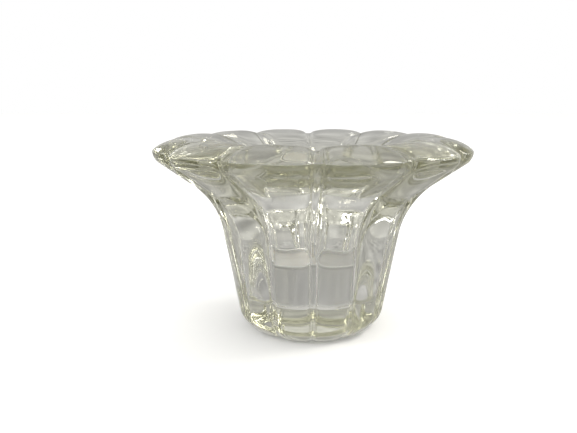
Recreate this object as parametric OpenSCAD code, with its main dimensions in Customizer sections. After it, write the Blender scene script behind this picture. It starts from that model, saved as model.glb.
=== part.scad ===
// Pressed-glass tealight holder: twelve rounded panels, a thick petal rim and a deep round well,
// with the standard tealight that it holds. Millimetres, +Z up, origin at the centre of the foot.

/* [Glass body] */
// Number of panels round the body, each ending in one petal
lobes = 12; // [8:1:16]
// Radius at the tips of the petals, on the mould line
rim_r = 54; // [48:0.5:66]
// Height of the mould line round the edge of the petals
edge_z = 62.8; // [56:0.1:76]
// Radius of the panels where they would meet the resting face
foot_r = 24.9; // [24.2:0.1:30]
// Radius that rounds the panels and grooves into the resting face
foot_round = 7.6; // [4:0.1:10]
// Lean of the panels away from upright, in degrees
panel_lean = 10.3; // [6:0.1:14]
// Height where the lines of the panels and of the flared rim cross
waist_z = 45.2; // [36:0.1:50]
// Radius of the hollow curve between panels and flared rim
flare_round = 27; // [16:0.5:33]
// Radius that rounds the underside of the petals up to the mould line
lip_round = 4.8; // [3:0.1:8]

/* [Grooves] */
// Depth of the grooves between the petals, on the mould line
groove_rim_depth = 3.2; // [1:0.1:5]
// Radius of the groove bottoms where they would meet the resting face
groove_foot_r = 24.5; // [24:0.1:30]
// Lean of the groove bottoms away from upright, in degrees
groove_lean = 3.4; // [2:0.1:8]
// Height where the lines of the groove bottoms and of the flared rim cross
groove_waist_z = 43.6; // [36:0.1:48]
// Radius of the hollow curve along the groove bottoms
groove_round = 22; // [12:0.5:27]
// Depth of the grooves on the top of the rim
groove_top_depth = 1.6; // [0.2:0.1:2.4]
// Angle that the flat bottom of a groove takes up round the axis, in degrees
groove_turn = 3; // [1:0.1:5]
// How broad and flat a panel's face is before it turns into its grooves: 2 is a plain ellipse
panel_fullness = 2.4; // [2:0.1:5]

/* [Rim top] */
// Rise from the mould line to the crest of a petal
crest_rise = 4.4; // [2.6:0.1:8]
// Radius of the crest that runs round the top of the rim
crest_r = 42; // [36:0.5:45]
// How slowly the petals rise from the mould line: 1 is a quarter of an ellipse
crest_ease = 1.5; // [1:0.1:2]
// Drop from the crest to the mouth of the well
mouth_drop = 12.2; // [8:0.1:20]

/* [Well] */
// Gap between the tealight cup and the wall of the well, at the floor
well_gap = 2; // [1.4:0.1:2.6]
// How much wider the well is at its mouth than at its floor
well_draft = 1.2; // [0.5:0.1:2]
// Thickness of the glass under the well
floor_t = 12; // [8:0.5:16]
// How far the flat floor of the well runs out past the foot of the cup
flat_gap = 0.25; // [0.1:0.05:0.6]

/* [Foot recess] */
// Radius of the shallow recess under the foot
recess_r = 14; // [8:0.5:15]
// Depth of the recess
recess_d = 0.8; // [0.3:0.1:1.5]

/* [Tealight] */
// Outer radius of the tealight cup at its bead
cup_r = 19; // [16:0.1:21]
// Height of the tealight cup
cup_h = 15; // [12:0.5:19]
// Sheet thickness of the cup
cup_t = 0.35; // [0.2:0.05:0.45]
// Radius of the rolled bead round the rim of the cup
bead_r = 0.45; // [0.35:0.05:0.7]
// How much narrower the cup is at its foot than under its bead
cup_draft = 0.4; // [0.1:0.1:0.8]
// Distance from the rim of the cup down to the wax
wax_drop = 1.4; // [1:0.1:4]
// Height of the wick above the wax
wick_out = 6; // [4:0.5:10]
// Radius of the wick
wick_r = 0.9; // [0.6:0.05:1.2]
// Radius of the tab that holds the wick
tab_r = 7.5; // [5:0.5:10]
// Thickness of the tab and of its collar
tab_t = 0.25; // [0.15:0.05:0.4]
// Height of the collar round the foot of the wick
collar_h = 3.2; // [2:0.1:5]

/* [Fits] */
// Gap between two pieces that rest one on the other
seat_gap = 0.02; // [0.01:0.01:0.1]
// Gap round the wax, which shrinks from its cup as it sets
wax_gap = 0.1; // [0.05:0.05:0.3]
// Gap between the wax and the tab and wick cast into it
cast_gap = 0.04; // [0.02:0.01:0.1]

/* [Hidden] */
$fn = 96;

// Steps that draw the glass: across half a panel, and along each stretch of its section
half_steps = 5;
foot_steps = 5;
panel_steps = 4;
flare_steps = 8;
lip_steps = 5;
top_steps = 7;
mouth_steps = 8;
round_steps = 6;
// Sides of the small round of the cup's bead
bead_sides = 32;
// How far the top of the rim runs in past the wall of the well before the well is cut
mouth_run = 1.5;
// How far the cutters run out past the surfaces that they cut
cut_over = 1;

half_panel = (360 / lobes - groove_turn) / 2;
crest_z = edge_z + crest_rise;
mouth_z = crest_z - mouth_drop;
well_r = cup_r + well_gap;
mouth_r = well_r + well_draft;
wall_r = cup_r - bead_r;
cup_foot_r = wall_r - cup_draft;
well_round = well_r - cup_foot_r - flat_gap;
cup_z = floor_t + seat_gap;
wax_z = cup_z + cup_t + seat_gap;
wax_top = cup_z + cup_h - wax_drop;

function arc(c, r, a0, a1, n) = [
    for (i = [0 : n])
    let (a = a0 + (a1 - a0) * i / n)
    c + r * [cos(a), sin(a)]
];
function between(a, b, n) = [for (i = [1 : n - 1]) a + (b - a) * i / n];
// Radius of the cup's inside at a height above the cup's foot
function cup_inside(h) = cup_foot_r - cup_t + cup_draft * (h - cup_t) / (cup_h - bead_r - cup_t);

// Section of the outside, from the resting face up to the mould line. Each line leans from
// upright by its angle, and a round joins each line to the next.
function outside(foot, lean, waist, hollow, rim) =
    let (
        waist_r = foot + waist * tan(lean),
        lip = [rim - lip_round, edge_z],
        to_lip = lip - [waist_r, waist],
        flare = atan2(to_lip[0], to_lip[1]) + asin(lip_round / norm(to_lip)),
        foot_c = [foot - foot_round * (1 - sin(lean)) / cos(lean), foot_round],
        turn = (flare + lean) / 2,
        hollow_c = [waist_r, waist] + hollow / cos((flare - lean) / 2) * [cos(turn), -sin(turn)],
        low = arc(foot_c, foot_round, -90, -lean, foot_steps),
        bend = arc(hollow_c, hollow, 180 - lean, 180 - flare, flare_steps),
        high = arc(lip, lip_round, -flare, 0, lip_steps)
    )
    concat(low, between(low[foot_steps], bend[0], panel_steps), bend, high);

// Section of the top, from the mould line over the crest and down towards the well
function top(rim, rise) =
    let (mouth = [mouth_r - mouth_run, mouth_z], reach = crest_r - mouth[0], drop = edge_z + rise - mouth_z)
    concat(
        [
            for (i = [1 : top_steps])
            let (a = 90 * i / top_steps)
            [crest_r + (rim - crest_r) * cos(a), edge_z + rise * pow(sin(a), crest_ease)]
        ],
        [
            for (i = [1 : mouth_steps])
            let (a = 90 * i / mouth_steps)
            mouth + [reach * (1 - sin(a)), drop * cos(a)]
        ]
    );

panel_line = concat(
    outside(foot_r, panel_lean, waist_z, flare_round, rim_r),
    top(rim_r, crest_rise)
);
groove_line = concat(
    outside(groove_foot_r, groove_lean, groove_waist_z, groove_round, rim_r - groove_rim_depth),
    top(rim_r - groove_rim_depth, crest_rise - groove_top_depth)
);
rings = len(panel_line);
panel_points = 2 * half_steps + 1;
ring_points = lobes * panel_points;

// Step j across a panel runs from groove (0) to middle (half_steps) to groove, and is finer at
// the grooves, where the face turns in sharply.
function across(j) = sin(90 * (j / half_steps - 1));
function fullness(u) = sqrt(1 - pow(abs(u), panel_fullness));

// Point of ring i on step j of the panel in direction dir
function skin(i, j, dir) =
    let (
        u = across(j),
        p = groove_line[i] + (panel_line[i] - groove_line[i]) * fullness(u),
        a = dir + half_panel * u
    )
    [p[0] * cos(a), p[0] * sin(a), p[1]];

module glass_blank() {
    points = concat(
        [
            for (i = [0 : rings - 1])
            for (k = [0 : lobes - 1])
            for (j = [0 : panel_points - 1])
            skin(i, j, 360 / lobes * (k + 0.5))
        ],
        [[0, 0, 0], [0, 0, mouth_z]]
    );
    under = rings * ring_points;
    sides = [
        for (i = [0 : rings - 2])
        for (j = [0 : ring_points - 1])
        let (a = i * ring_points + j, b = i * ring_points + (j + 1) % ring_points)
        each [[a, a + ring_points, b], [b, a + ring_points, b + ring_points]]
    ];
    last = under - ring_points;
    under_fan = [for (j = [0 : ring_points - 1]) [under, j, (j + 1) % ring_points]];
    mouth_fan = [for (j = [0 : ring_points - 1]) [under + 1, last + (j + 1) % ring_points, last + j]];
    polyhedron(points, concat(sides, under_fan, mouth_fan));
}

module well_space() {
    corner = [well_r - well_round, floor_t + well_round];
    rotate_extrude()
        polygon(concat(
            [[0, crest_z + cut_over], [0, floor_t]],
            arc(corner, well_round, -90, 0, round_steps),
            [[mouth_r, mouth_z], [mouth_r, crest_z + cut_over]]
        ));
}

module glass_holder() {
    color([0.86, 0.88, 0.84, 0.4])
    difference() {
        glass_blank();
        well_space();
        translate([0, 0, -cut_over])
            cylinder(h = cut_over + recess_d, r1 = recess_r + cut_over, r2 = recess_r - recess_d);
    }
}

module tealight_cup() {
    color([0.80, 0.80, 0.81])
    translate([0, 0, cup_z])
    rotate_extrude()
        union() {
            polygon([
                [0, 0],
                [cup_foot_r, 0],
                [wall_r, cup_h - bead_r],
                [wall_r - cup_t, cup_h - bead_r],
                [cup_foot_r - cup_t, cup_t],
                [0, cup_t]
            ]);
            translate([wall_r, cup_h - bead_r])
                circle(r = bead_r, $fn = bead_sides);
        }
}

module tealight_wax() {
    color([0.96, 0.95, 0.92])
    translate([0, 0, wax_z])
    difference() {
        cylinder(
            h = wax_top - wax_z,
            r1 = cup_inside(wax_z - cup_z) - wax_gap,
            r2 = cup_inside(wax_top - cup_z) - wax_gap
        );
        translate([0, 0, -cut_over])
            cylinder(h = cut_over + tab_t + cast_gap, r = tab_r + cast_gap);
        translate([0, 0, -cut_over])
            cylinder(h = cut_over + collar_h + cast_gap, r = wick_r + tab_t + 2 * cast_gap);
        translate([0, 0, -cut_over])
            cylinder(h = cut_over + wax_top - wax_z + cut_over, r = wick_r + cast_gap);
    }
}

module wick_tab() {
    color([0.72, 0.73, 0.74])
    translate([0, 0, wax_z])
    difference() {
        union() {
            cylinder(h = tab_t, r = tab_r);
            cylinder(h = collar_h, r = wick_r + tab_t);
        }
        translate([0, 0, tab_t])
            cylinder(h = collar_h, r = wick_r);
    }
}

module tealight_wick() {
    color([0.93, 0.91, 0.85])
    translate([0, 0, wax_z + tab_t])
        cylinder(h = wax_top + wick_out - wax_z - tab_t, r = wick_r);
}

glass_holder();
tealight_cup();
tealight_wax();
wick_tab();
tealight_wick();
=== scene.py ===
import math

import bpy
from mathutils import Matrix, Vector, noise


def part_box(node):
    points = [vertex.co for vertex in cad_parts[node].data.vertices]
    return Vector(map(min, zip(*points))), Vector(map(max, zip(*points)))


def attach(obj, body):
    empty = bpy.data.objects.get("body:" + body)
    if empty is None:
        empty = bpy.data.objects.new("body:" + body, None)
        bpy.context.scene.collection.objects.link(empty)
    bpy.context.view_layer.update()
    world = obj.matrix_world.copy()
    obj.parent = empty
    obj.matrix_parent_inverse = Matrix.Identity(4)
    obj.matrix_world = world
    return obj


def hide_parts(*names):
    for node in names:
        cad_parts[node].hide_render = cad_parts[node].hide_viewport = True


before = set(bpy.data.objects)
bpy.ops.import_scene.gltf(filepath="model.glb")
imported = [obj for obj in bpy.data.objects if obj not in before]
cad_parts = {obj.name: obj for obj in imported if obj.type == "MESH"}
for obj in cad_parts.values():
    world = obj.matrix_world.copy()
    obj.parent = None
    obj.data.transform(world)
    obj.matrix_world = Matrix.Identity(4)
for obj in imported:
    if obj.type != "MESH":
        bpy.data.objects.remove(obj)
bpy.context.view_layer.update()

# ------------------------------------------------------------------------------------------
# Glass holder. One heavy piece of clear soda-lime glass, pressed in a mould that cuts twelve
# rounded panels and gives each one a petal at the rim. A plunger forms the deep round well,
# and fire-polishing softens every edge and leaves the faces faintly wavy.
# ------------------------------------------------------------------------------------------
# The pieces' sizes and section lines are in millimetres, with z up from the table.
MM = 0.001

PANELS = 12
GROOVE_TURN = math.radians(3.0)
HALF_PANEL = math.pi / PANELS - GROOVE_TURN / 2
RIM_R = 54.0
EDGE_Z = 62.8
FOOT_R = 24.9
FOOT_ROUND = 7.6
PANEL_LEAN = math.radians(10.3)
WAIST_Z = 45.2
FLARE_ROUND = 27.0
LIP_ROUND = 4.8
GROOVE_RIM_DEPTH = 3.2
GROOVE_FOOT_R = 24.5
GROOVE_LEAN = math.radians(3.4)
GROOVE_WAIST_Z = 43.6
GROOVE_ROUND = 22.0
GROOVE_TOP_DEPTH = 1.6
PANEL_FULLNESS = 2.4
GROOVE_STEPS = 4
CREST_RISE = 4.4
CREST_R = 42.0
CREST_EASE = 1.5
MOUTH_DROP = 12.2
MOUTH_RUN = 1.5
MOUTH_LEAD = 1.0
WELL_FOOT_R = 21.0
WELL_MOUTH_R = 22.2
FLOOR_Z = 12.0
WELL_ROUND = 2.6
RECESS_R = 14.0
RECESS_D = 0.8
RECESS_EDGE = [(0.3, 0), (0, 0.12), (-0.5, 0.5), (-0.9, 0.72)]
RECESS_FLAT = (-1.4, -3, -7, -11)
CREST_Z = EDGE_Z + CREST_RISE
MOUTH_Z = CREST_Z - MOUTH_DROP

FOOT_STEPS = 14
PANEL_STEPS = 20
FLARE_STEPS = 30
LIP_STEPS = 16
TOP_STEPS = 26
MOUTH_STEPS = 34
WELL_STEPS = 24
ROUND_STEPS = 10
FLOOR_STEPS = 8
ACROSS_STEPS = 40

BROAD_WAVES = (0.34, 10.0)
FINE_WAVES = (0.09, 4.6)
WAVE_STRETCH = 0.5
WAVES_START = (31.0, 57.0, 0.0)
WAVES_FROM_Z = 6.0
GLASS_IOR = 1.52
GLASS_TINT = (0.86, 0.86, 0.80, 1.0)
GLASS_DENSITY = 45.0
GLASS_HAZE = (0.0, 0.02)
HAZE_GRAINS = 90
RIPPLE_GRAINS = 260
RIPPLE_DEPTH = 0.02


def arc_points(centre, radius, start, stop, steps):
    """Points on an arc of a section line, both ends included."""
    points = []
    for i in range(steps + 1):
        turn = start + (stop - start) * i / steps
        points.append((centre[0] + radius * math.cos(turn), centre[1] + radius * math.sin(turn)))
    return points


def points_between(first, last, steps):
    """Points that part the straight line from first to last evenly, without its two ends."""
    points = []
    for i in range(1, steps):
        share = i / steps
        r = first[0] + (last[0] - first[0]) * share
        z = first[1] + (last[1] - first[1]) * share
        points.append((r, z))
    return points


def outside_section(foot, lean, waist, hollow, rim):
    """The outside from the table to the edge of the rim: rounded foot, leaning side, flare and lip."""
    waist_r = foot + waist * math.tan(lean)
    lip = (rim - LIP_ROUND, EDGE_Z)
    to_lip = (lip[0] - waist_r, lip[1] - waist)
    flare = math.atan2(to_lip[0], to_lip[1]) + math.asin(LIP_ROUND / math.hypot(*to_lip))
    foot_centre = (foot - FOOT_ROUND * (1 - math.sin(lean)) / math.cos(lean), FOOT_ROUND)
    turn = (flare + lean) / 2
    reach = hollow / math.cos((flare - lean) / 2)
    hollow_centre = (waist_r + reach * math.cos(turn), waist - reach * math.sin(turn))
    low = arc_points(foot_centre, FOOT_ROUND, -math.pi / 2, -lean, FOOT_STEPS)
    bend = arc_points(hollow_centre, hollow, math.pi - lean, math.pi - flare, FLARE_STEPS)
    high = arc_points(lip, LIP_ROUND, -flare, 0, LIP_STEPS)
    return low + points_between(low[-1], bend[0], PANEL_STEPS) + bend + high


def top_section(rim, rise):
    """The top from the edge of the rim over the crest and down to the mouth of the well."""
    points = []
    for i in range(1, TOP_STEPS + 1):
        turn = math.pi / 2 * i / TOP_STEPS
        r = CREST_R + (rim - CREST_R) * math.cos(turn)
        points.append((r, EDGE_Z + rise * math.sin(turn) ** CREST_EASE))
    inner_r = WELL_MOUTH_R - MOUTH_RUN
    reach = CREST_R - inner_r
    last_turn = math.asin(1 - MOUTH_RUN / reach)
    for i in range(1, MOUTH_STEPS + 1):
        turn = last_turn * i / MOUTH_STEPS
        drop = EDGE_Z + rise - MOUTH_Z
        points.append((inner_r + reach * (1 - math.sin(turn)), MOUTH_Z + drop * math.cos(turn)))
    return points


def fullness(u):
    """Share of the way out from groove line to panel line, at u from -1 to 1 across a panel."""
    return math.sqrt(1 - abs(u) ** PANEL_FULLNESS)


panel_line = outside_section(FOOT_R, PANEL_LEAN, WAIST_Z, FLARE_ROUND, RIM_R)
panel_line += top_section(RIM_R, CREST_RISE)
groove_rim = RIM_R - GROOVE_RIM_DEPTH
groove_line = outside_section(GROOVE_FOOT_R, GROOVE_LEAN, GROOVE_WAIST_Z, GROOVE_ROUND, groove_rim)
groove_line += top_section(groove_rim, CREST_RISE - GROOVE_TOP_DEPTH)

well_corner = (WELL_FOOT_R - WELL_ROUND, FLOOR_Z + WELL_ROUND)
well_line = arc_points(well_corner, WELL_ROUND, 0, -math.pi / 2, ROUND_STEPS)
well_line = points_between((WELL_MOUTH_R, MOUTH_Z + MOUTH_LEAD), well_line[0], WELL_STEPS) + well_line
well_line += points_between((WELL_FOOT_R - WELL_ROUND, FLOOR_Z), (0, FLOOR_Z), FLOOR_STEPS)

under_line = [(RECESS_R + out, z) for out, z in RECESS_EDGE]
under_line += [(RECESS_R + out, RECESS_D) for out in RECESS_FLAT]


def round_axis(r, angle, z):
    """The point at distance r from the upright axis, at this angle round it and at height z."""
    return Vector((r * math.cos(angle), r * math.sin(angle), z))


angles = []
for panel in range(PANELS):
    middle = 2 * math.pi / PANELS * (panel + 0.5)
    for j in range(ACROSS_STEPS + 1):
        u = math.sin(math.pi / 2 * (2 * j / ACROSS_STEPS - 1))
        angles.append((middle + HALF_PANEL * u, fullness(u)))
    for j in range(1, GROOVE_STEPS):
        angles.append((middle + HALF_PANEL + GROOVE_TURN * j / GROOVE_STEPS, 0.0))

glass_rings = []
for panel_point, groove_point in zip(panel_line, groove_line):
    ring = []
    for angle, full in angles:
        r = groove_point[0] + (panel_point[0] - groove_point[0]) * full
        z = groove_point[1] + (panel_point[1] - groove_point[1]) * full
        ring.append(round_axis(r, angle, z))
    glass_rings.append(ring)
for r, z in well_line:
    glass_rings.append([round_axis(r, angle, z) for angle, full in angles])
under_rings = []
for r, z in under_line:
    under_rings.append([round_axis(r, angle, z) for angle, full in angles])


def ring_faces(around, low_ring, high_ring):
    """The faces between two rings of points, each ring given by its place in the pile."""
    faces = []
    low = low_ring * around
    high = high_ring * around
    for j in range(around):
        step = (j + 1) % around
        faces.append((low + j, low + step, high + step, high + j))
    return faces


def smooth_piece(name, points, faces):
    """An object with smooth shading from points in millimetres."""
    mesh = bpy.data.meshes.new(name)
    mesh.from_pydata([Vector(point) * MM for point in points], [], faces)
    mesh.polygons.foreach_set("use_smooth", [True] * len(mesh.polygons))
    mesh.update()
    piece = bpy.data.objects.new(name, mesh)
    bpy.context.scene.collection.objects.link(piece)
    return piece


def closed_mesh(name, rings, first_centre, last_centre):
    """Skins rings of equal length, each end closed by a fan to its centre point."""
    around = len(rings[0])
    points = [point for ring in rings for point in ring]
    faces = []
    for i in range(len(rings) - 1):
        faces += ring_faces(around, i, i + 1)
    first = len(points)
    points += [first_centre, last_centre]
    last_ring = (len(rings) - 1) * around
    for j in range(around):
        step = (j + 1) % around
        faces.append((first, step, j))
        faces.append((first + 1, last_ring + j, last_ring + step))
    return smooth_piece(name, points, faces)


def wavy(point):
    """How far fire-polishing has drawn this point in, in waves that run up the faces."""
    upright = Vector((point.x, point.y, point.z * WAVE_STRETCH)) + Vector(WAVES_START)
    drawn = 0
    for depth, length in (BROAD_WAVES, FINE_WAVES):
        drawn += depth * (0.5 + 0.5 * noise.noise(upright / length))
    return drawn * min(1, point.z / WAVES_FROM_Z)


glass_body = closed_mesh(
    "glass_body",
    list(reversed(under_rings)) + glass_rings,
    (0, 0, RECESS_D),
    (0, 0, FLOOR_Z),
)
normals = [vertex.normal.copy() for vertex in glass_body.data.vertices]
for vertex, normal in zip(glass_body.data.vertices, normals):
    vertex.co -= normal * wavy(vertex.co / MM) * MM
glass_body.data.update()


def new_material(name):
    """A material with one Principled shader: gives it, its node tree and the shader."""
    material = bpy.data.materials.new(name)
    material.use_nodes = True
    return material, material.node_tree, material.node_tree.nodes["Principled BSDF"]


def object_noise(tree, scale, detail, stretch=(1, 1, 1)):
    """A noise texture fixed to the piece; scale counts its grains to the metre."""
    place = tree.nodes.new("ShaderNodeTexCoord")
    mapping = tree.nodes.new("ShaderNodeMapping")
    mapping.inputs["Scale"].default_value = stretch
    grain = tree.nodes.new("ShaderNodeTexNoise")
    grain.inputs["Scale"].default_value = scale
    grain.inputs["Detail"].default_value = detail
    tree.links.new(place.outputs["Object"], mapping.inputs["Vector"])
    tree.links.new(mapping.outputs["Vector"], grain.inputs["Vector"])
    return grain.outputs["Fac"]


def spread(tree, value, low, high, start=0.3, end=0.7):
    """Maps a texture value onto the range low to high."""
    node = tree.nodes.new("ShaderNodeMapRange")
    node.inputs["From Min"].default_value = start
    node.inputs["From Max"].default_value = end
    node.inputs["To Min"].default_value = low
    node.inputs["To Max"].default_value = high
    tree.links.new(value, node.inputs["Value"])
    return node.outputs["Result"]


def two_tones(tree, shader, value, first, second):
    """Lets a texture value blend the base colour from first to second."""
    shade = tree.nodes.new("ShaderNodeMix")
    shade.data_type = "RGBA"
    shade.inputs["A"].default_value = first
    shade.inputs["B"].default_value = second
    tree.links.new(value, shade.inputs["Factor"])
    tree.links.new(shade.outputs["Result"], shader.inputs["Base Color"])


def relief(tree, shader, height, depth, strength):
    """Lets a texture value raise the surface by up to depth."""
    node = tree.nodes.new("ShaderNodeBump")
    node.inputs["Strength"].default_value = strength
    node.inputs["Distance"].default_value = depth * MM
    tree.links.new(height, node.inputs["Height"])
    tree.links.new(node.outputs["Normal"], shader.inputs["Normal"])


pressed_glass, tree, shader = new_material("pressed_glass_polished")
shader.inputs["Base Color"].default_value = (1, 1, 1, 1)
shader.inputs["Transmission Weight"].default_value = 1.0
shader.inputs["IOR"].default_value = GLASS_IOR
haze = object_noise(tree, HAZE_GRAINS, 2)
tree.links.new(spread(tree, haze, *GLASS_HAZE), shader.inputs["Roughness"])
relief(tree, shader, object_noise(tree, RIPPLE_GRAINS, 3), RIPPLE_DEPTH, 0.6)
tint = tree.nodes.new("ShaderNodeVolumeAbsorption")
tint.inputs["Color"].default_value = GLASS_TINT
tint.inputs["Density"].default_value = GLASS_DENSITY
tree.links.new(tint.outputs["Volume"], tree.nodes["Material Output"].inputs["Volume"])
glass_body.data.materials.append(pressed_glass)

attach(glass_body, "holder")
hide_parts("glass_holder")

# ------------------------------------------------------------------------------------------
# Tealight cup. Thin bright aluminium sheet, drawn into a cup with a fluted wall, a floor
# raised in the middle and a bead rolled outwards round its rim. It stands loose in the well.
# ------------------------------------------------------------------------------------------
cup_low, cup_high = [Vector(corner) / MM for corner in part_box("tealight_cup")]
CUP_H = cup_high.z - cup_low.z
CUP_R = (cup_high.x - cup_low.x) / 2
CUP_BEAD = 0.45
CUP_SHEET = 0.3
CUP_DRAFT = 0.4
CUP_CORNER = 0.8
CUP_FLOOR_RISE = 0.5
RISE_R = 5.0
RISE_FOOT_R = 7.0
CUP_FLUTES = 54
FLUTE_DEPTH = 0.12
FLUTE_STEPS = 8
FLUTE_FOOT = (1.6, 2.4)
FLUTE_HEAD = (1.8, 1.6)
BEAD_START = math.radians(-110)
BEAD_END = math.radians(200)
BEAD_STEPS = 18
CUP_WALL_STEPS = 26
CUP_DARK = (0.86, 0.86, 0.86, 1)
CUP_BRIGHT = (0.95, 0.95, 0.95, 1)
CUP_GLOSS = (0.3, 0.5)
CUP_STREAKS = 900
STREAK_DEPTH = 0.03


def flute(angle, z):
    """How far the crimped wall is pressed in here; it runs out towards the foot and the bead."""
    above_foot = min(1, max(0, (z - FLUTE_FOOT[0]) / FLUTE_FOOT[1]))
    below_bead = min(1, max(0, (CUP_H - FLUTE_HEAD[0] - z) / FLUTE_HEAD[1]))
    return FLUTE_DEPTH * above_foot * below_bead * (0.5 - 0.5 * math.cos(CUP_FLUTES * angle))


wall_r = CUP_R - CUP_BEAD
cup_foot_r = wall_r - CUP_DRAFT
bead_centre = (wall_r, CUP_H - CUP_BEAD)
bead_foot_z = CUP_H - 2 * CUP_BEAD
corner_centre = (cup_foot_r - CUP_CORNER, CUP_CORNER)
cup_line = [(0.01, CUP_FLOOR_RISE), (RISE_R, CUP_FLOOR_RISE), (RISE_R + 0.8, CUP_FLOOR_RISE - 0.05)]
cup_line += [(RISE_FOOT_R - 0.6, 0.06), (RISE_FOOT_R, 0), (cup_foot_r - CUP_CORNER - 0.1, 0)]
cup_line += arc_points(corner_centre, CUP_CORNER, -math.pi / 2, 0, 6)[1:]
cup_line += points_between(cup_line[-1], (wall_r - 0.05, bead_foot_z), CUP_WALL_STEPS)
cup_line += arc_points(bead_centre, CUP_BEAD, BEAD_START, BEAD_END, BEAD_STEPS)
inner_top = (wall_r - CUP_SHEET, bead_foot_z)
inner_foot = (cup_foot_r - CUP_SHEET, CUP_CORNER)
cup_line += [inner_top] + points_between(inner_top, inner_foot, CUP_WALL_STEPS) + [inner_foot]
cup_line += [(cup_foot_r - CUP_CORNER - 0.2, CUP_SHEET), (RISE_FOOT_R, CUP_SHEET)]
cup_line += [(RISE_FOOT_R - 0.6, CUP_SHEET + 0.05)]
cup_line += [(RISE_R + 0.8, CUP_FLOOR_RISE + CUP_SHEET - 0.05), (RISE_R, CUP_FLOOR_RISE + CUP_SHEET)]

cup_rings = []
cup_around = CUP_FLUTES * FLUTE_STEPS
for r, z in cup_line:
    ring = []
    for j in range(cup_around):
        angle = 2 * math.pi * j / cup_around
        pressed = r - flute(angle, z) if r > cup_foot_r - 0.5 else r
        ring.append(round_axis(pressed, angle, z + cup_low.z))
    cup_rings.append(ring)
tealight_shell = closed_mesh(
    "tealight_shell",
    cup_rings,
    (0, 0, cup_low.z + CUP_FLOOR_RISE),
    (0, 0, cup_low.z + CUP_FLOOR_RISE + CUP_SHEET),
)

cup_aluminium, tree, shader = new_material("cup_aluminium_rolled")
shader.inputs["Metallic"].default_value = 1.0
drawn_streaks = object_noise(tree, CUP_STREAKS, 3, (1, 1, 0.06))
two_tones(tree, shader, drawn_streaks, CUP_DARK, CUP_BRIGHT)
tree.links.new(spread(tree, drawn_streaks, *CUP_GLOSS), shader.inputs["Roughness"])
relief(tree, shader, drawn_streaks, STREAK_DEPTH, 0.5)
tealight_shell.data.materials.append(cup_aluminium)

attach(tealight_shell, "tealight")
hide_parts("tealight_cup")

# ------------------------------------------------------------------------------------------
# Wax. White paraffin granules pressed into a short plug that narrows with the cup and fills
# it: the top is faintly mottled, turned up a little at the edge, and dished round the wick.
# ------------------------------------------------------------------------------------------
wax_low, wax_high = [Vector(corner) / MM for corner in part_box("tealight_wax")]
wick_low, wick_high = [Vector(corner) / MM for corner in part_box("tealight_wick")]
tab_low, tab_high = [Vector(corner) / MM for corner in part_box("wick_tab")]
WAX_R = (wax_high.x - wax_low.x) / 2
WAX_H = wax_high.z - wax_low.z
WICK_R = (wick_high.x - wick_low.x) / 2
TAB_R = (tab_high.x - tab_low.x) / 2
TAB_T = 0.25
CAST_GAP = 0.04
WAX_CORNER = 0.6
WAX_DRAFT = 0.37
WAX_TOP_DROP = 0.36
WAX_EDGE = (0.35, 0.9)
WAX_DISH = (0.55, 1.6)
WAX_SHOULDER = 0.06
MOTTLE_DEPTH = 0.05
MOTTLED_TOP = 1.2
PLAIN_EDGE = 0.3
WAX_AROUND = 160
WAX_TOP_STEPS = 30
WAX_SIDE_STEPS = 12
# Both wax tones are greyer than white paraffin: painted shade for the well the tealight stands in,
# mottled at random between them.
WAX_SHADED_GREY = (0.70, 0.69, 0.66, 1)
WAX_SHADED_PALE = (0.80, 0.79, 0.76, 1)
WAX_GLOSS = (0.38, 0.6)
WAX_IOR = 1.44
WAX_GRANULES = 1400
WAX_CLOUDS = 160
GRANULE_DEPTH = 0.06


def wax_top(r):
    """Height of the wax's top above its foot: turned up at the edge, dished at the wick."""
    edge = WAX_EDGE[0] * math.exp((r - WAX_R) / WAX_EDGE[1])
    dish = WAX_DISH[0] * math.exp(-((r - WICK_R) / WAX_DISH[1]) ** 2)
    return WAX_H - WAX_TOP_DROP + edge - dish


bore_r = WICK_R + CAST_GAP
collar_r = WICK_R + TAB_T + CAST_GAP
collar_top = tab_high.z - tab_low.z + CAST_GAP
wax_line = [(bore_r, collar_top), (collar_r, collar_top), (collar_r, TAB_T + CAST_GAP)]
wax_line += [(TAB_R + CAST_GAP, TAB_T + CAST_GAP), (TAB_R + CAST_GAP, 0.02), (TAB_R + 0.3, 0)]
wax_foot_r = WAX_R - WAX_DRAFT
wax_side_top = wax_top(WAX_R) - 0.2
wax_line += points_between((TAB_R + 0.3, 0), (wax_foot_r - WAX_CORNER, 0), 6)
wax_line += arc_points((wax_foot_r - WAX_CORNER, WAX_CORNER), WAX_CORNER, -math.pi / 2, 0, 6)
wax_line += points_between((wax_foot_r, WAX_CORNER), (WAX_R, wax_side_top), WAX_SIDE_STEPS)
wax_line += [(WAX_R, wax_side_top), (WAX_R - WAX_SHOULDER, wax_top(WAX_R) - 0.05)]
for i in range(1, WAX_TOP_STEPS + 1):
    r = WAX_R - WAX_SHOULDER + (bore_r - WAX_R + WAX_SHOULDER) * i / WAX_TOP_STEPS
    wax_line.append((r, wax_top(r)))

wax_rings = []
for r, z in wax_line:
    ring = []
    for j in range(WAX_AROUND):
        angle = 2 * math.pi * j / WAX_AROUND
        point = round_axis(r, angle, z + wax_low.z)
        if z > WAX_H - MOTTLED_TOP and r < WAX_R - PLAIN_EDGE:
            point.z -= MOTTLE_DEPTH + MOTTLE_DEPTH * noise.noise(point * 0.9)
        ring.append(point)
    wax_rings.append(ring)

# The wick's bore goes right through, so the last ring joins the first.
wax_faces = []
for i in range(len(wax_rings)):
    wax_faces += ring_faces(WAX_AROUND, i, (i + 1) % len(wax_rings))
wax_points = [point for ring in wax_rings for point in ring]
wax_block = smooth_piece("wax_block", wax_points, wax_faces)

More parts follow.
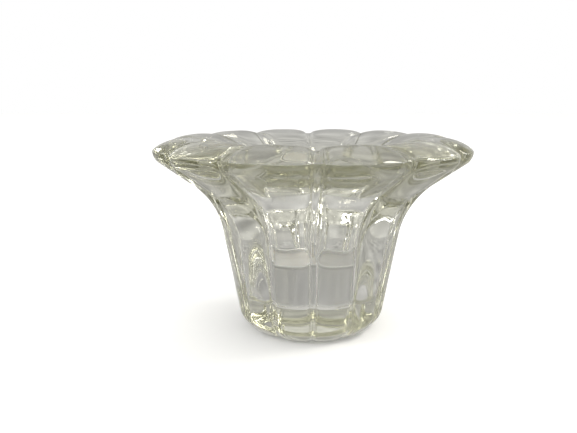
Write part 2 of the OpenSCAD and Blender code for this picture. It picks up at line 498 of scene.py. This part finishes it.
candle_wax, tree, shader = new_material("candle_wax_pressed")
granules = object_noise(tree, WAX_GRANULES, 4)
clouds = object_noise(tree, WAX_CLOUDS, 2)
# Mottled at random between two tones that are both darkened as painted shade of the well.
two_tones(tree, shader, spread(tree, clouds, 0.0, 1.0), WAX_SHADED_GREY, WAX_SHADED_PALE)
tree.links.new(spread(tree, granules, *WAX_GLOSS), shader.inputs["Roughness"])
shader.inputs["Subsurface Weight"].default_value = 0.6
shader.inputs["Subsurface Radius"].default_value = (1.0, 0.9, 0.75)
shader.inputs["Subsurface Scale"].default_value = 0.002
shader.inputs["IOR"].default_value = WAX_IOR
relief(tree, shader, granules, GRANULE_DEPTH, 0.6)
wax_block.data.materials.append(candle_wax)

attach(wax_block, "tealight")
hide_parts("tealight_wax")

# ------------------------------------------------------------------------------------------
# Wick tab. A disc of thin tin-plated steel, stamped with a shallow ring and a neck that is
# pinched round the foot of the wick. It is cast into the underside of the wax.
# ------------------------------------------------------------------------------------------
TAB_AROUND = 96
NECK_PINCHES = 4
PINCH_DEPTH = 0.14
PINCH_Z = 1.9
PINCH_REACH = 0.5
NECK_R = WICK_R + TAB_T
NECK_TOP = 3.2
NECK_STEPS = (1.2, 1.7, 2.2, 2.7, 3.1)
TIN_DARK = (0.60, 0.60, 0.60, 1)
TIN_BRIGHT = (0.76, 0.76, 0.75, 1)
TIN_GLOSS = (0.22, 0.45)
TIN_SCUFFS = 1200
SCUFF_DEPTH = 0.02

tab_under = [(0.4, 0.0), (4.0, 0.0), (4.4, 0.08), (4.9, 0.08), (5.3, 0.0)]
tab_line = [(TAB_R - 0.08, 0.0), (TAB_R, 0.08), (TAB_R, TAB_T - 0.06), (TAB_R - 0.06, TAB_T)]
tab_line += [(5.2, TAB_T), (4.9, TAB_T + 0.02), (4.4, TAB_T + 0.02), (4.1, TAB_T)]
tab_line += [(NECK_R + 0.5, TAB_T), (NECK_R + 0.15, TAB_T + 0.12), (NECK_R, TAB_T + 0.5)]
tab_line += [(NECK_R, z) for z in NECK_STEPS]
tab_line += [(NECK_R - 0.06, NECK_TOP), (WICK_R + 0.06, NECK_TOP), (WICK_R, NECK_TOP - 0.1)]
tab_line += [(WICK_R, 1.0), (WICK_R, TAB_T), (0.4, TAB_T)]


def pinch(angle, r, z):
    """How far the neck is squeezed in here: at four places, halfway up its outside."""
    if r < WICK_R + 0.05 or r > NECK_R + 0.01 or z < 0.8:
        return 0
    upward = math.exp(-((z - PINCH_Z) / PINCH_REACH) ** 2)
    return PINCH_DEPTH * upward * max(0, math.cos(NECK_PINCHES * angle)) ** 2


tab_rings = []
for r, z in tab_under + tab_line:
    ring = []
    for j in range(TAB_AROUND):
        angle = 2 * math.pi * j / TAB_AROUND
        ring.append(round_axis(r - pinch(angle, r, z), angle, z + tab_low.z))
    tab_rings.append(ring)
wick_holder = closed_mesh("wick_holder", tab_rings, (0, 0, tab_low.z), (0, 0, tab_low.z + TAB_T))

tab_steel, tree, shader = new_material("tab_steel_tinned")
shader.inputs["Metallic"].default_value = 1.0
scuffs = object_noise(tree, TIN_SCUFFS, 4, (1, 0.1, 1))
two_tones(tree, shader, scuffs, TIN_DARK, TIN_BRIGHT)
tree.links.new(spread(tree, scuffs, *TIN_GLOSS), shader.inputs["Roughness"])
relief(tree, shader, scuffs, SCUFF_DEPTH, 0.5)
wick_holder.data.materials.append(tab_steel)

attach(wick_holder, "tealight")
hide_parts("wick_tab")

# ------------------------------------------------------------------------------------------
# Wick. Eight cotton yarns braided round a core and dipped in wax, cut square at the top,
# where the yarn ends stand a little proud of each other. Its foot is held in the neck.
# ------------------------------------------------------------------------------------------
WICK_AROUND = 64
WICK_RING = 0.11
BRAID_PITCH = 3.4
BRAID_STRANDS = 4
BRAID_DEPTH = 0.16
HELD_IN = 0.12
HELD_PAST_NECK = 0.3
END_ROUND = 0.22
END_REACH = 0.35
FRAY_DEPTH = 0.28
FRAY_REACH = 0.8
YARN_WAXED = (0.70, 0.66, 0.56, 1)
YARN_DRY = (0.92, 0.90, 0.83, 1)
YARN_GLOSS = (0.75, 0.95)
YARN_FIBRES = 5200
FIBRE_DEPTH = 0.05


def braid(angle, z):
    """How far the surface lies below the crown of the nearest yarn."""
    turn = 2 * math.pi * z / BRAID_PITCH
    left = math.cos(BRAID_STRANDS * (angle + turn))
    right = math.cos(BRAID_STRANDS * (angle - turn) + math.pi)
    return BRAID_DEPTH * (0.5 - 0.5 * max(left, right))


def fray(angle):
    """How far the end of the yarn at this angle falls short of the cut."""
    return FRAY_DEPTH * (0.5 + 0.5 * noise.noise(round_axis(3, angle, 7)))


wick_height = wick_high.z - wick_low.z
wick_count = int(wick_height / WICK_RING)
wick_rings = []
for i in range(wick_count + 1):
    z = wick_height * i / wick_count
    neck = HELD_IN if z < tab_high.z - wick_low.z + HELD_PAST_NECK else 0.0
    end = END_ROUND * max(0, 1 - (wick_height - z) / END_REACH) ** 2
    near_end = max(0, 1 - (wick_height - z) / FRAY_REACH)
    ring = []
    for j in range(WICK_AROUND):
        angle = 2 * math.pi * j / WICK_AROUND
        r = WICK_R - neck - end - braid(angle, z)
        ring.append(round_axis(r, angle, wick_low.z + z - fray(angle) * near_end))
    wick_rings.append(ring)
tip = [Vector((point.x * 0.5, point.y * 0.5, wick_high.z - 0.04)) for point in wick_rings[-1]]
wick_rings.append(tip)
braided_wick = closed_mesh("braided_wick", wick_rings, (0, 0, wick_low.z), (0, 0, wick_high.z))

wick_cotton, tree, shader = new_material("wick_cotton_braided")
fibres = object_noise(tree, YARN_FIBRES, 3, (1, 1, 0.35))
two_tones(tree, shader, spread(tree, fibres, 0.0, 1.0), YARN_WAXED, YARN_DRY)
tree.links.new(spread(tree, fibres, *YARN_GLOSS), shader.inputs["Roughness"])
shader.inputs["Sheen Weight"].default_value = 0.25
shader.inputs["Sheen Roughness"].default_value = 0.5
relief(tree, shader, fibres, FIBRE_DEPTH, 0.8)
braided_wick.data.materials.append(wick_cotton)

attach(braided_wick, "tealight")
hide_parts("tealight_wick")

# ------------------------------------------------------------------------------------------
# Table and light. A wide white tabletop in a white room with three soft lamps, in metres. Seen
# straight they are plain. What the glass bends or reflects of the room is a mid grey in soft
# patches, as from the things that stand round any table. Of the tabletop the glass shows a grey
# glow, which is painted light in soft patches of painted light and shade, unshaded even under the
# holder.
# ------------------------------------------------------------------------------------------
TABLE_HALF = 3.0
TABLE_SEEN = (0.93, 0.93, 0.92, 1)
# The tabletop as the glass shows it: a grey glow of painted light, in patches of painted light and
# shade.
TABLE_GLOW_IN_GLASS = (0.50, 0.495, 0.48, 1)
TABLE_SHADE_PATCHES = 16
TABLE_LIGHT_AND_SHADE_TONES = (0.65, 1.35)
ROOM_SEEN = (1.0, 1.0, 1.0, 1)
ROOM_ON_TABLE = (1.15, 1.15, 1.15, 1)
ROOM_PATCHES = 2.6
ROOM_TONES = (0.65, 1.4)
LAMP_AIM = Vector((0, 0, 0.05))
ROOM_IN_GLASS = [
    (0.00, (0.30, 0.29, 0.27, 1)),
    (0.45, (0.50, 0.49, 0.46, 1)),
    (0.50, (0.55, 0.545, 0.52, 1)),
    (0.70, (0.60, 0.595, 0.58, 1)),
    (1.00, (0.90, 0.89, 0.87, 1)),
]

table_mesh = bpy.data.meshes.new("table")
table_corners = [(-1, -1, 0), (1, -1, 0), (1, 1, 0), (-1, 1, 0)]
table_points = [Vector(corner) * TABLE_HALF for corner in table_corners]
table_mesh.from_pydata(table_points, [], [(0, 1, 2, 3)])
table = bpy.data.objects.new("table", table_mesh)
bpy.context.scene.collection.objects.link(table)
table_white_and_glow, tree, shader = new_material("table_white_glowing_in_glass")
ray = tree.nodes.new("ShaderNodeLightPath")
shader.inputs["Base Color"].default_value = TABLE_SEEN
shader.inputs["Roughness"].default_value = 0.9
shader.inputs["Specular IOR Level"].default_value = 0.0
# For rays that are not from the camera the tabletop is a grey glow: painted light, lit even under the
# holder, in soft patches of painted shade.
table_glow = tree.nodes.new("ShaderNodeEmission")
table_glow.inputs["Color"].default_value = TABLE_GLOW_IN_GLASS
patches = object_noise(tree, TABLE_SHADE_PATCHES, 1)
tree.links.new(spread(tree, patches, *TABLE_LIGHT_AND_SHADE_TONES), table_glow.inputs["Strength"])
either = tree.nodes.new("ShaderNodeMixShader")
tree.links.new(ray.outputs["Is Camera Ray"], either.inputs["Fac"])
tree.links.new(table_glow.outputs["Emission"], either.inputs[1])
tree.links.new(shader.outputs["BSDF"], either.inputs[2])
tree.links.new(either.outputs["Shader"], tree.nodes["Material Output"].inputs["Surface"])
table_mesh.materials.append(table_white_and_glow)

room = bpy.data.worlds.new("room")
room.use_nodes = True
bpy.context.scene.world = room
tree = room.node_tree
backdrop = tree.nodes["Background"]
ray = tree.nodes.new("ShaderNodeLightPath")
direction = tree.nodes.new("ShaderNodeTexCoord")
parts = tree.nodes.new("ShaderNodeSeparateXYZ")
tree.links.new(direction.outputs["Generated"], parts.inputs["Vector"])
ramp = tree.nodes.new("ShaderNodeValToRGB")
while len(ramp.color_ramp.elements) < len(ROOM_IN_GLASS):
    ramp.color_ramp.elements.new(0.5)
for element, (position, colour) in zip(ramp.color_ramp.elements, ROOM_IN_GLASS):
    element.position = position
    element.color = colour
tree.links.new(spread(tree, parts.outputs["Z"], 0, 1, -1, 1), ramp.inputs["Fac"])
furnished = tree.nodes.new("ShaderNodeTexNoise")
furnished.inputs["Scale"].default_value = ROOM_PATCHES
furnished.inputs["Detail"].default_value = 1
tree.links.new(direction.outputs["Generated"], furnished.inputs["Vector"])
patched = tree.nodes.new("ShaderNodeVectorMath")
patched.operation = "SCALE"
tree.links.new(ramp.outputs["Color"], patched.inputs["Vector"])
tree.links.new(spread(tree, furnished.outputs["Fac"], *ROOM_TONES), patched.inputs["Scale"])
on_table = tree.nodes.new("ShaderNodeMix")
on_table.data_type = "RGBA"
on_table.inputs["B"].default_value = ROOM_ON_TABLE
tree.links.new(ray.outputs["Is Diffuse Ray"], on_table.inputs["Factor"])
tree.links.new(patched.outputs["Vector"], on_table.inputs["A"])
seen = tree.nodes.new("ShaderNodeMix")
seen.data_type = "RGBA"
seen.inputs["B"].default_value = ROOM_SEEN
tree.links.new(ray.outputs["Is Camera Ray"], seen.inputs["Factor"])
tree.links.new(on_table.outputs["Result"], seen.inputs["A"])
tree.links.new(seen.outputs["Result"], backdrop.inputs["Color"])


def soft_lamp(name, place, size, power, colour):
    """A rectangular soft box at place, in metres, that faces the middle of the holder."""
    light = bpy.data.lights.new(name, "AREA")
    light.shape = "RECTANGLE"
    light.size = size[0]
    light.size_y = size[1]
    light.energy = power
    light.color = colour
    lamp = bpy.data.objects.new(name, light)
    lamp.location = place
    lamp.rotation_euler = (LAMP_AIM - Vector(place)).to_track_quat("-Z", "Y").to_euler()
    bpy.context.scene.collection.objects.link(lamp)


soft_lamp("lamp_over", (0.62, 0.05, 0.75), (0.3, 0.3), 3.5, (1, 0.96, 0.86))
soft_lamp("lamp_left", (-0.9, -0.3, 0.5), (0.3, 0.6), 3.0, (1, 0.99, 0.97))
soft_lamp("lamp_right", (0.9, 0.2, 0.4), (0.15, 0.6), 2.0, (1, 1, 1))

# ------------------------------------------------------------------------------------------
# Camera. The eye is in front of the holder, a little above its rim, and looks slightly down
# into the well; one groove faces it almost squarely. Places are in metres.
# ------------------------------------------------------------------------------------------
EYE_BACK = 0.20123
EYE_HEIGHT = 0.07961
EYE_BEARING = math.radians(-1.96)
LOOK_DOWN = math.radians(11.57)
LOOK_ASIDE = math.radians(0.31)
FILM_WIDTH = 36
FOCAL_LENGTH = 36.09
NEAREST_SEEN = 0.005
LIGHT_CROSSINGS = 32

camera_data = bpy.data.cameras.new("camera")
camera_data.sensor_width = FILM_WIDTH
camera_data.lens = FOCAL_LENGTH
camera_data.clip_start = NEAREST_SEEN
camera = bpy.data.objects.new("camera", camera_data)
camera.location = round_axis(EYE_BACK, EYE_BEARING - math.pi / 2, EYE_HEIGHT)
camera.rotation_euler = (math.pi / 2 - LOOK_DOWN, 0, LOOK_ASIDE)
bpy.context.scene.collection.objects.link(camera)
bpy.context.scene.camera = camera
bpy.context.scene.view_settings.view_transform = "Standard"

# Light crosses the thick rim and the foot many times before it leaves the glass.
bpy.context.scene.cycles.max_bounces = LIGHT_CROSSINGS
bpy.context.scene.cycles.transmission_bounces = LIGHT_CROSSINGS
bpy.context.scene.cycles.glossy_bounces = LIGHT_CROSSINGS
